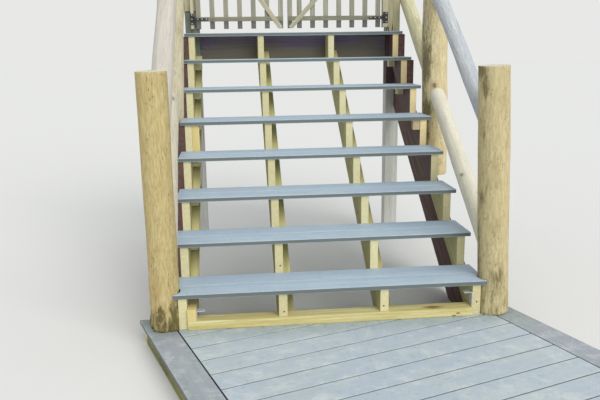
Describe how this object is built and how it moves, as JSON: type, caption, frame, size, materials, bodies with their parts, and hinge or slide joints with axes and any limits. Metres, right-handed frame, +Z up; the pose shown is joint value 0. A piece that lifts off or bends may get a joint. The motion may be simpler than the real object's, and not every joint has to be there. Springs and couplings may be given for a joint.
{
  "type": "deck stairs",
  "caption": "Straight open-riser deck stairs with composite treads, sawtooth stringers, log rails, a turned boarded landing and a picket gate at the head.",
  "frame": {"origin": "on the ground, on the underside of the landing's middle joist, below the middle of the lowest tread's front edge", "axes": "+X across the stairs to the right of someone going up, +Y up the flight, square to the face that meets the deck, +Z up"},
  "size_m": [2.409, 3.8966, 2.733],
  "materials": {
    "composite": "matte",
    "pine": "sawn",
    "old_timber": "stained",
    "log": "weathered",
    "rail_log": "weathered",
    "post_timber": "weathered",
    "gate_timber": "weathered",
    "galvanised": "galvanised",
    "hinge_steel": "black"
  },
  "bodies": {
    "stairs": {"landing_border_left": "composite", "landing_border_right": "composite", "landing_border_front": "composite", "landing_boards": "composite", "tread_1": "composite", "tread_2": "composite", "tread_3": "composite", "tread_4": "composite", "tread_5": "composite", "tread_6": "composite", "tread_7": "composite", "tread_8": "composite", "landing_joists": "pine", "landing_rims": "pine", "kicker_plate": "pine", "stringer_1": "pine", "stringer_2": "pine", "stringer_3": "pine", "stringer_4": "pine", "raking_battens": "pine", "tread_cleats": "pine", "packer_blocks": "pine", "side_stringer_left": "old_timber", "side_stringer_right": "old_timber", "head_joist": "old_timber", "newel_left": "log", "newel_right": "log", "mid_post_left": "log", "mid_post_right": "log", "handrail_left": "rail_log", "handrail_right": "rail_log", "lower_rail_left": "rail_log", "lower_rail_right": "rail_log", "upper_rail_left": "rail_log", "upper_rail_right": "rail_log", "gate_post_left": "post_timber", "gate_post_right": "post_timber", "gate_strips": "post_timber", "foot_brackets": "galvanised", "gate_left_plates": "hinge_steel", "gate_right_plates": "hinge_steel"},
    "gate_left": {"gate_left_leaf": "gate_timber", "gate_left_straps": "hinge_steel"},
    "gate_right": {"gate_right_leaf": "gate_timber", "gate_right_straps": "hinge_steel"}
  },
  "joints": [
    {"name": "gate_left_swing", "type": "hinge", "parent": "stairs", "child": "gate_left", "pos_m": [-0.747, 2.024, 1.7375], "axis": [0, 0, -1], "range_deg": [0, 90]},
    {"name": "gate_right_swing", "type": "hinge", "parent": "stairs", "child": "gate_right", "pos_m": [0.686, 2.024, 1.7375], "axis": [0, 0, 1], "range_deg": [0, 90]}
  ]
}
